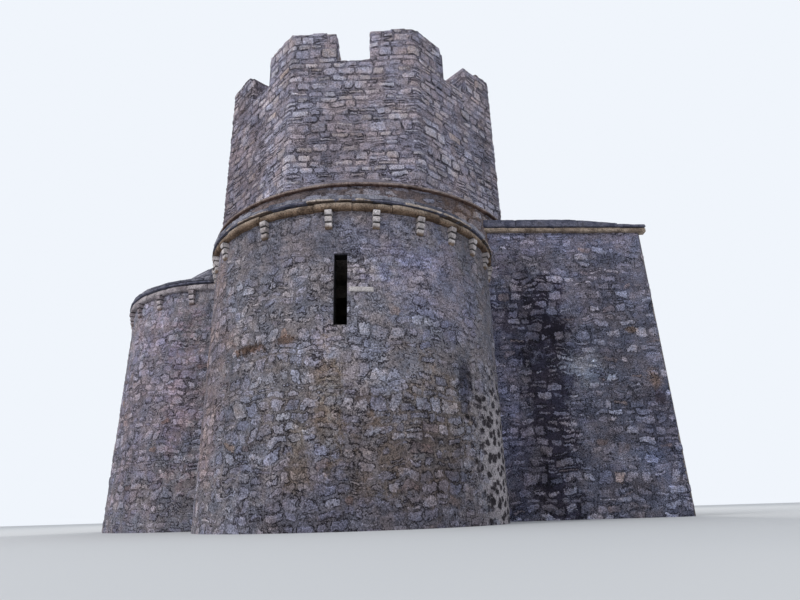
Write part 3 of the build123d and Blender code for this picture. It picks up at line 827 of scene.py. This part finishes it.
def facing(name, line, low, high, sizes, finish, offset, step=WALL_STEP, holes=(), lift=None):
    """The outer stones of a wall along a line on the ground, with rectangular holes."""
    stations = spaced({0.0, line_length(line), *[s for hole in holes for s in hole[:2]]}, step)
    heights = spaced({low, high, *[z for hole in holes for z in hole[2:]]}, step)
    places, outs = follow(line, stations)
    base = np.zeros((len(stations), len(heights), 3))
    base[:, :, :2] = (places + outs * SKIN)[:, None, :]
    base[:, :, 2] = heights[None, :]
    outward = np.zeros_like(base)
    outward[:, :, :2] = outs[:, None, :]
    spots = np.ones_like(base)
    spots[:, :, 0] = stations[:, None] + offset
    spots[:, :, 1] = heights[None, :] + offset * OFFSET_RISE
    if lift is not None:
        base[:, :, 2] += lift(base)
    border = np.ones(base.shape[:2], bool)
    border[1:-1, 1:-1] = False

    def in_hole(c, r):
        middle_s = (stations[c] + stations[c + 1]) / 2
        middle_z = (heights[r] + heights[r + 1]) / 2
        gone = np.zeros(c.shape, bool)
        for start, end, sill, head in holes:
            gone |= (middle_s > start) & (middle_s < end) & (middle_z > sill) & (middle_z < head)
        return gone

    clad(name, base, outward, spots, border, sizes, finish, in_hole)


# Facings of the apses, the arm, the drum and the tower
OFFSET_RISE = 0.37
TOWER_OFFSET = 80.0
EIGHTH = math.pi / 8


def apse_line(side):
    """Outline of an apse's wall, from its left end to its right end."""
    if side == "left":
        tail = -PIER_SIDE + 0.01
        turn = bow((-LEFT_CENTRE, 0), LEFT_RADIUS, 90, 270)
        return np.concatenate([[(tail, LEFT_RADIUS)], turn, [(tail, -LEFT_RADIUS)]])
    turn = bow((0, -FRONT_CENTRE), FRONT_RADIUS, 180, 360)
    ends = (-FRONT_RADIUS, -PIER_FRONT + 0.01), (FRONT_RADIUS, -ARM_HALF + 0.01)
    front = np.concatenate([ends[:1], turn, ends[1:]])
    return front if side == "front" else (front * (1, -1))[::-1]


front_line, rear_line, left_line = (apse_line(side) for side in ("front", "rear", "left"))
front_tail = FRONT_CENTRE - PIER_FRONT + 0.01
half_bow = FRONT_RADIUS * math.pi / 2
for side, line, middle, offset, step in (
    ("front", front_line, front_tail + half_bow + SLIT_OFFSET, 3.0, WALL_STEP),
    ("left", left_line, line_length(left_line) / 2, 17.0, WALL_STEP),
    ("rear", rear_line, line_length(rear_line) - front_tail - half_bow, 31.0, REAR_STEP),
):
    slit = (middle - SLIT_HALF, middle + SLIT_HALF, SLIT_SILL, SLIT_HEAD)
    facing(f"{side}_apse_facing", line, 0.0, WALL_TOP, APSE_MASONRY, apse_rubble, offset, step, [slit])


def arm_sag(x):
    """The arm's eaves stand a little high at the tower and sag towards the entrance end."""
    return 0.02 - 0.085 * np.clip((x - PIER_SIDE) / (ARM_END - PIER_SIDE), 0, 1)


def sag_facing(base):
    """Only the wall's upper part follows the sag."""
    return arm_sag(base[:, :, 0]) * np.clip((base[:, :, 2] - 2.6) / (ARM_WALL_TOP - 2.6), 0, 1)


arm_start = PIER_SIDE - 0.01
arm_corners = ((arm_start, -ARM_HALF), (ARM_END, -ARM_HALF), (ARM_END, ARM_HALF), (arm_start, ARM_HALF))
arm_line = rounded(arm_corners, 0.04)
door = line_length(arm_line) / 2
door_holes = (
    (door - DOOR_HALF, door + DOOR_HALF, 0.0, lintel_box[0].z),
    (door - lintel_box[1].y, door + lintel_box[1].y, lintel_box[0].z, lintel_box[1].z),
)
facing("arm_facing", arm_line, 0.0, ARM_WALL_TOP, ARM_MASONRY, arm_rubble, 45.0, 0.02, door_holes, sag_facing)
drum_line = bow((0, 0), DRUM_RADIUS, 0, 360, 241)
facing("drum_facing", drum_line, EAVES_BED, DRUM_TOP, DRUM_MASONRY, drum_rubble, 60.0, 0.021)
tower_corner = TOWER_HALF / math.cos(EIGHTH)
tower_turns = [math.radians(67.5 + 45 * i) for i in range(9)]
tower_line = rounded([(tower_corner * math.cos(t), tower_corner * math.sin(t)) for t in tower_turns], 0.035)
facing("tower_facing", tower_line, COURSE_TOP, CRENEL_SILL, TOWER_MASONRY, tower_rubble, TOWER_OFFSET)

# Battlement
inner_corner = PARAPET_INNER / math.cos(EIGHTH)
outer_leg = TOWER_HALF * math.tan(EIGHTH) - CRENEL_HALF
inner_leg = PARAPET_INNER * math.tan(EIGHTH) - CRENEL_HALF
chance = random.Random(7)


def ragged_top(length, height):
    """Top of a broken wall: level stones of uneven height along its length."""
    joints, tops = [0.0], []
    while joints[-1] < length:
        joints.append(joints[-1] + chance.uniform(0.13, 0.3))
        tops.append(height + chance.uniform(-0.075, -0.03))
    tops[0] -= chance.uniform(0.0, 0.09)
    tops[-1] -= chance.uniform(0.0, 0.09)
    return lambda s: tops[min(max(int(np.searchsorted(joints, s)) - 1, 0), len(tops) - 1)]


def build_merlon(index, height):
    """One merlon about a corner of the octagon: outer face, ragged top, inner face and two cheeks."""
    corner_turn = math.radians(22.5 + 45 * index)
    corner_place = np.array((math.cos(corner_turn), math.sin(corner_turn)))
    around = line_length(tower_line)
    shares = np.linspace(-1, 1, 61)
    stations = around * ((index - 1) % 8) / 8 + shares * outer_leg
    places, outs = follow(tower_line, stations % around)
    inner = np.zeros_like(places)
    for row, share in enumerate(shares):
        turn = corner_turn + math.copysign(math.radians(112.5), share)
        leg = abs(share) * inner_leg * np.array((math.cos(turn), math.sin(turn)))
        inner[row] = corner_place * inner_corner + leg
    thick = np.linalg.norm(inner - places, axis=1)
    top_at = ragged_top(2 * outer_leg, height)
    tops = np.array([top_at((share + 1) * outer_leg) for share in shares]) + CRENEL_SILL
    rise, across = 30, 20
    rows = [("outer", 0.0, share) for share in np.linspace(0, 1, rise)]
    rows += [("top", row / across, 1.0) for row in range(1, across)]
    rows += [("inner", 1.0, share) for share in np.linspace(1, 0, rise)]
    base = np.zeros((len(shares), len(rows), 3))
    outward = np.zeros_like(base)
    spots = np.ones_like(base)
    for row, (part, share_in, share_up) in enumerate(rows):
        lip = places + outs * SKIN if part == "outer" else places
        base[:, row, :2] = lip * (1 - share_in) + inner * share_in
        level = CRENEL_SILL + (tops - CRENEL_SILL) * share_up
        base[:, row, 2] = level
        if part == "top":
            outward[:, row, 2] = 1.0
            spots[:, row, 2] = 0.8
        else:
            outward[:, row, :2] = outs if part == "outer" else -outs
        up = level if part == "outer" else 2 * tops - level
        spots[:, row, 0] = stations + TOWER_OFFSET
        spots[:, row, 1] = up + thick * share_in + TOWER_OFFSET * OFFSET_RISE
    spots[[0, -1], :, 2] = 0.0
    spots[:, -1, 2] = 0.0
    laid = {"sizes": TOWER_MASONRY, "finish": tower_rubble, "stands_for": ("merlons",)}
    clad(f"merlon_{index}", base, outward, spots, np.ones(base.shape[:2], bool), **laid)
    inwards = np.linspace(0, 1, 22)[:, None, None]
    for side, end, beside in (("left", 0, 1), ("right", -1, -2)):
        low, high, back = base[end, 0], base[end, rise - 1], base[end, -1]
        cheek = np.zeros((len(inwards), rise, 3))
        cheek[:, :, :2] = low[:2] * (1 - inwards) + back[:2] * inwards
        cheek[:, :, 2] = np.linspace(low[2], high[2], rise)
        run = low[:2] - base[beside, 0, :2]
        out = np.zeros_like(cheek)
        out[:, :, :2] = run / np.linalg.norm(run)
        tags = np.zeros_like(cheek)
        tags[:, :, 0] = stations[end] + TOWER_OFFSET + 0.45 * inwards[:, :, 0]
        tags[:, :, 1] = cheek[:, :, 2] + TOWER_OFFSET * OFFSET_RISE
        tags[1:-1, 1:-1, 2] = 1.0
        if side == "left":
            cheek, out, tags = cheek[::-1], out[::-1], tags[::-1]
        clad(f"merlon_{index}_{side}_cheek", cheek, out, tags, np.ones(cheek.shape[:2], bool), **laid)


merlon_points = np.array([v.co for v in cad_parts["merlons"].data.vertices])
merlon_angles = np.degrees(np.arctan2(merlon_points[:, 1], merlon_points[:, 0])) % 360
for index in range(8):
    near = np.abs((merlon_angles - 22.5 - 45 * index + 180) % 360 - 180) < 12
    worn_and_shaded_hollows = 0.03 if index == 6 else 0.0
    build_merlon(index, float(merlon_points[near, 2].max()) - CRENEL_SILL - worn_and_shaded_hollows)


# Runs of shaped stones: cornices, slab edges and the string course
def wobble(place, scale, size):
    """Small smooth offset of a corner."""
    return np.array(noise.noise_vector(Vector(place) * scale)) * size


def stone_run(name, line, level, section, lengths, seed, finish, slot, *stands_for, rough=0.004, lift=None):
    """Stones of uneven length laid end to end along a line, all of one section (reach, height)."""
    dice = random.Random(seed)
    total = line_length(line)
    corners, faces = [], []
    start = 0.0
    while start < total - 0.05:
        end = min(start + dice.uniform(*lengths), total)
        if total - end < lengths[0] * 0.6:
            end = total
        count = max(3, round((end - start) / 0.032))
        places, outs = follow(line, np.linspace(start + 0.003, end - 0.003, count))
        push, drop = dice.uniform(-0.01, 0.0), dice.uniform(-0.004, 0.004)
        swell = dice.uniform(0.93, 1.04)
        faces += run_faces(len(corners), count, len(section))
        for row, (place, out) in enumerate(zip(places, outs)):
            blunt = 0.9 if row in (0, count - 1) else 1.0
            for reach, height in section:
                forward = reach * swell * blunt + push if reach > 0 else reach
                up = height * (swell if height > 0.02 else 1.0)
                spot = np.array((*(place + out * forward), level + up + drop))
                if reach > 0:
                    spot = spot + wobble(spot, 21.0, rough) + wobble(spot, 60.0, rough * 0.4)
                if lift is not None:
                    spot[2] += lift(spot[0], height)
                corners.append(np.clip(spot, BOX_LOW, BOX_HIGH))
        start = end
    belong(solid_piece(name, corners, faces, finish), slot, *stands_for)


def roll_section(tall):
    """Half-round moulding of a cornice."""
    bulge = (0.03, 0.0), (0.05, 0.0), (0.062, 0.12), (0.067, 0.34), (0.067, 0.6), (0.061, 0.84), (0.05, 0.97)
    return ((-0.05, 0.0), *((reach, share * tall) for reach, share in bulge), (0.02, tall), (-0.05, tall))


ROLL = EAVES_BED - WALL_TOP
edge_section = (
    (-0.12, -0.002), (0.04, -0.002), (0.079, 0.0), (0.082, 0.011), (0.078, 0.022), (0.03, 0.027),
    (-0.12, 0.036),
)
for side, line, seed, roll_finish, slab_finish in (
    ("front", front_line, 11, cornice_stone, edge_stone),
    ("rear", rear_line, 12, cornice_stone, edge_stone),
    ("left", left_line, 13, grey_cornice_stone, slate_edge_stone),
):
    stone_run(
        f"{side}_eaves_roll", line, WALL_TOP, roll_section(ROLL + 0.013), (0.24, 0.5), seed, roll_finish,
        "dressed_stone", f"{side}_apse_cornice",
    )
    stone_run(
        f"{side}_eaves_slabs", line, SLAB_BED, edge_section, (0.22, 0.5), seed + 10, slab_finish,
        "stone_slabs", rough=0.006,
    )
bonder_section = ((-0.04, 0.0), (0.016, 0.0), (0.02, 0.012), (0.019, 0.034), (0.015, 0.045), (-0.04, 0.046))
bonder_line = bow((0, -FRONT_CENTRE), FRONT_RADIUS, 273.7, 282.0, 20)
stone_run(
    "pale_stone_by_window", bonder_line, 1.965, bonder_section, (0.4, 0.4), 3, pale_stone, "rubble_wall",
)
course_bulge = ((0.7, 0.0), (0.98, 0.007), (1.04, 0.02), (0.96, 0.033), (0.6, 0.043))
course_bulge = [(share * (COURSE_RADIUS - DRUM_RADIUS), height) for share, height in course_bulge]
course_section = ((-0.05, 0.0), (0.02, -0.002), *course_bulge, (-0.05, 0.05))
stone_run(
    "string_course_stones", drum_line, DRUM_TOP, course_section, (0.2, 0.5), 31, course_stone,
    "dressed_stone",
)


def arm_slab_lift(x, height):
    """The arm's slab edge follows the sag and grows thin towards the entrance end."""
    return arm_sag(x) - height * 0.62 * np.clip((x - 2.75) / 0.75, 0, 1)


arm_edge_section = ((-0.16, 0.0), (0.05, 0.0), (0.075, 0.006), (0.079, 0.03), (0.07, 0.104), (-0.16, 0.13))
for side, sign in (("front", -1), ("rear", 1)):
    line = [(PIER_SIDE - 0.02, sign * ARM_HALF), (ARM_EAVES_END, sign * ARM_HALF)][::-sign]
    stone_run(
        f"arm_eaves_roll_{side}", line, ARM_WALL_TOP, roll_section(ROLL), (0.26, 0.6), 41 + sign,
        cornice_stone, "dressed_stone", "arm_cornice", lift=lambda x, height: arm_sag(x),
    )
    stone_run(
        f"arm_eaves_slabs_{side}", line, ARM_EAVES_BED, arm_edge_section, (0.5, 0.95), 44 + sign,
        slate_edge_stone, "stone_slabs", "arm_roof", lift=arm_slab_lift,
    )

# One slab of the roofs, a metre each way, that the points size
kit = bmesh.new()
bmesh.ops.create_grid(kit, x_segments=4, y_segments=3, size=0.5)
lid = bmesh.ops.extrude_face_region(kit, geom=kit.faces[:])
for corner in [g for g in lid["geom"] if isinstance(g, bmesh.types.BMVert)]:
    corner.co.z += 1.0
    corner.co.x *= 0.95
    corner.co.y *= 0.93
bmesh.ops.recalc_face_normals(kit, faces=kit.faces)
slab_mesh = bpy.data.meshes.new("one_roof_slab")
kit.to_mesh(slab_mesh)
kit.free()
one_slab = bpy.data.objects.new("one_roof_slab", slab_mesh)


def lay_slabs(name, slabs, seed, stands_for=()):
    """Slabs at (place, direction along the eaves, direction up the slope, width, depth, thickness)."""
    corners, turns, sizes = [], [], []
    for place, along, up, *size in slabs:
        side = Vector(along).normalized()
        face = side.cross(Vector(up)).normalized()
        rise = face.cross(side).normalized()
        corners.append(place)
        turns.append(tuple(Matrix((side, rise, face)).transposed().to_euler("XYZ")))
        sizes.append(size)
    piece = mesh_piece(name, corners, [], {"lie": turns, "spread": sizes})
    settle(piece, slabs_tree, {"Slab": one_slab, "Chips": 0.02, "Seed": seed, "Finish": slab_stone})
    spots = np.zeros(len(piece.data.vertices) * 3, np.float32)
    piece.data.vertices.foreach_get("co", spots)
    spots = np.clip(spots.reshape(-1, 3), BOX_LOW, BOX_HIGH)
    piece.data.vertices.foreach_set("co", spots.ravel().astype(np.float32))
    belong(piece, "stone_slabs", *stands_for)


def apse_roof_slabs(centre, bearing, tail, edge, rise, keep_slab, seed):
    """Rows of slabs over a half-round roof with its straight tail, from the eaves to the top."""
    dice = random.Random(seed)
    eaves = SLAB_BED + 0.02
    lower = [(edge * (1 - 0.34 * t), eaves + 0.255 * rise * t) for t in np.linspace(0, 1, 40)]
    bend = np.polyfit((0.66, 0.39, 0.0), (0.255, 0.66, 1.0), 2)
    upper = [(edge * r, eaves + rise * np.polyval(bend, r)) for r in np.linspace(0.66, 0.0, 40)]
    path = np.array(lower + upper[1:])
    reach = np.concatenate([[0], np.cumsum(np.linalg.norm(np.diff(path, axis=0), axis=1))])
    out = Vector((math.cos(bearing), math.sin(bearing), 0))
    across = Vector((-math.sin(bearing), math.cos(bearing), 0))
    middle = Vector((*centre, 0))
    slabs = []
    row = 0.135
    while row < reach[-1] - 0.08:
        (radius, height), (radius_above, height_above) = (
            [float(np.interp(s, reach, path[:, i])) for i in (0, 1)] for s in (row, row + 0.05)
        )
        lean = Vector((radius_above - radius, height_above - height)).normalized()
        run = -tail
        while run < math.pi * radius + tail:
            width = dice.uniform(0.17, 0.34)
            at = run + width / 2
            past = at - math.pi * radius
            turn = min(max(at, 0.0), math.pi * radius) / radius
            outward = across * math.cos(turn) + out * math.sin(turn)
            along = across * math.sin(turn) - out * math.cos(turn)
            place = middle + outward * radius + out * (min(at, 0.0) - max(past, 0.0))
            place = Vector((place.x, place.y, height + dice.uniform(0.0, 0.008)))
            if keep_slab(place):
                up = outward * lean.x + Vector((0, 0, lean.y))
                depth, thick = dice.uniform(0.2, 0.25), dice.uniform(0.022, 0.04)
                slabs.append((tuple(place), along, up, width * 1.02, depth, thick))
            run += width
        row += 0.17
    return slabs


VALLEY = FRONT_RADIUS - LEFT_RADIUS
CLEAR = DRUM_RADIUS + 0.03


def on_front(p):
    """Whether a slab lies on the front roof, clear of the drum, the left roof and the arm."""
    past_arm = p.x < 0 or -p.y > ARM_HALF + 0.1
    return math.hypot(p.x, p.y) > CLEAR and p.x - p.y + VALLEY > -0.05 and past_arm


def on_rear(p):
    return on_front(Vector((p.x, -p.y, p.z)))


def on_left(p):
    return math.hypot(p.x, p.y) > CLEAR and abs(p.y) < -p.x - VALLEY + 0.05


front_size = (FRONT_CENTRE - ARM_HALF, FRONT_RADIUS + EAVES_REACH, 0.88)
left_size = (LEFT_CENTRE - PIER_SIDE + 0.2, LEFT_RADIUS + EAVES_REACH, 0.99)
for side, centre, bearing, size, keep_slab, seed, chip_seed in (
    ("front", (0, -FRONT_CENTRE), -math.pi / 2, front_size, on_front, 51, 3),
    ("rear", (0, FRONT_CENTRE), math.pi / 2, front_size, on_rear, 52, 5),
    ("left", (-LEFT_CENTRE, 0), math.pi, left_size, on_left, 53, 7),
):
    lay_slabs(f"{side}_roof_slabs", apse_roof_slabs(centre, bearing, *size, keep_slab, seed), chip_seed)

# Gabled roof of the arm, its slabs sagging with the eaves
arm_edge = ARM_HALF + EAVES_REACH
arm_slope = math.atan2(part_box("arm_roof")[1].z - ARM_EAVES_BED - 0.055, arm_edge)
BED_RISE = 0.012
dice = random.Random(61)
arm_slabs = []
for sign in (-1, 1):
    up = (0, -sign * math.cos(arm_slope), math.sin(arm_slope))
    row = 0.05
    while row < arm_edge - 0.02:
        run = PIER_SIDE - 0.1
        while run < ARM_EAVES_END - 0.02:
            width = min(dice.uniform(0.2, 0.4), ARM_EAVES_END + 0.01 - run)
            x = run + width / 2
            y = sign * (arm_edge - row - 0.11)
            z = ARM_EAVES_BED + BED_RISE + (row + 0.1) * math.tan(arm_slope) + arm_sag(x)
            if math.hypot(x, y) > CLEAR - 0.12:
                arm_slabs.append(((x, y, z), (-sign, 0, 0), up, width, 0.24, dice.uniform(0.03, 0.042)))
            run += width
        row += 0.18
lay_slabs("arm_roof_slabs", arm_slabs, 9, ("arm_roof",))
bed_edge = arm_edge - 0.03
bed_side = ARM_EAVES_BED + BED_RISE
bed_section = (
    (-bed_edge, ARM_EAVES_BED), (-bed_edge, bed_side), (0.0, bed_side + bed_edge * math.tan(arm_slope)),
    (bed_edge, bed_side), (bed_edge, ARM_EAVES_BED), (0.0, ARM_EAVES_BED - 0.05),
)
bed_line = np.linspace(PIER_SIDE - 0.25, ARM_EAVES_END - 0.03, 24)
bed_corners = [(x, y, z + float(arm_sag(x))) for x in bed_line for y, z in bed_section]
bed_faces = run_faces(0, len(bed_line), len(bed_section))
belong(solid_piece("arm_roof_bed", bed_corners, bed_faces, weather_mortar), "stone_slabs", "arm_roof")

# Solids that stay in sight; a later row wins
CAD_FINISHES = (
    (("conch", "dome", "arm_vault", "pier"), inner_plaster),
    (("string_course",), course_stone),
    (("lintel", "threshold"), doorway_stone),
    (("cornice",), cornice_stone),
    (("corbels",), corbel_stone),
    (("left_apse_corbels",), grey_corbel_stone),
    (("roof",), slate_edge_stone),
    (("paving", "lookout_floor"), paving_stone),
    (("weathering",), weather_mortar),
    (("merlons", "tower_wall"), parapet_rubble),
)
for name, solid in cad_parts.items():
    finish = inner_rubble
    for words, candidate in CAD_FINISHES:
        if any(word in name for word in words):
            finish = candidate
    solid.data.materials.clear()
    solid.data.materials.append(finish)

# Floor, light and camera
floor_mesh = bpy.data.meshes.new("studio_floor")
floor_mesh.from_pydata([(-60, -60, 0), (60, -60, 0), (60, 60, 0), (-60, 60, 0)], [], [(0, 1, 2, 3)])
studio_floor = bpy.data.objects.new("studio_floor", floor_mesh)
bpy.context.scene.collection.objects.link(studio_floor)
floor_finish, _, floor_shader = new_finish("studio_floor_paint")
floor_shader.inputs["Base Color"].default_value = (0.62, 0.63, 0.64, 1.0)
floor_mesh.materials.append(floor_finish)

world = bpy.data.worlds.new("studio")
bpy.context.scene.world = world
world.use_nodes = True
sky = world.node_tree
sky.nodes.clear()
rays = add_node(sky, "ShaderNodeLightPath").outputs
rays = [Flow(sky, rays[f"Is {kind} Ray"]) for kind in ("Camera", "Glossy", "Transmission")]
seen = put(sky, "ShaderNodeBackground", {"Color": linear(240, 245, 252), "Strength": 1.0})
lit = put(sky, "ShaderNodeBackground", {"Color": (0.9, 0.94, 1.0, 1.0), "Strength": 0.82})
mixed = put(sky, "ShaderNodeMixShader", {0: rays[0].most(rays[1]).most(rays[2]), 1: lit, 2: seen})
add_node(sky, "ShaderNodeOutputWorld", {"Surface": mixed})


def soft_lamp(name, place, aim, size, power, tint):
    lamp = bpy.data.lights.new(name, "AREA")
    lamp.shape = "DISK"
    lamp.size = size
    lamp.energy = power
    lamp.color = tint
    made = bpy.data.objects.new(name, lamp)
    bpy.context.scene.collection.objects.link(made)
    made.location = place
    x, y, z = np.array(aim, float) - np.array(place, float)
    made.rotation_euler = (math.atan2(math.hypot(x, y), -z), 0.0, math.atan2(y, x) - math.pi / 2)


soft_lamp("left_key", (-11.5, -12.5, 12.0), (0, 0, 3), 7.0, 1250.0, (1.0, 0.98, 0.96))
soft_lamp("rear_sun", (4.0, 15.0, 15.0), (0, 0, 4), 4.0, 1200.0, (1.0, 0.97, 0.92))

camera_data = bpy.data.cameras.new("view_from_below")
camera = bpy.data.objects.new("view_from_below", camera_data)
bpy.context.scene.collection.objects.link(camera)
bpy.context.scene.camera = camera
camera_data.sensor_width = 36.0
camera_data.lens = 556.4 / 800 * 36.0
yaw, pitch, roll = -0.0142, 0.3659, -0.0302
ahead = np.array([math.sin(yaw) * math.cos(pitch), math.cos(yaw) * math.cos(pitch), math.sin(pitch)])
level_right = np.array([math.cos(yaw), -math.sin(yaw), 0.0])
level_up = np.cross(level_right, ahead)
right = level_right * math.cos(roll) + level_up * math.sin(roll)
up = -level_right * math.sin(roll) + level_up * math.cos(roll)
turned = Matrix((right, up, -ahead)).transposed().to_4x4()
camera.matrix_world = Matrix.Translation((0.6207, -7.8734, 0.12)) @ turned

bpy.context.scene.view_settings.view_transform = "Standard"
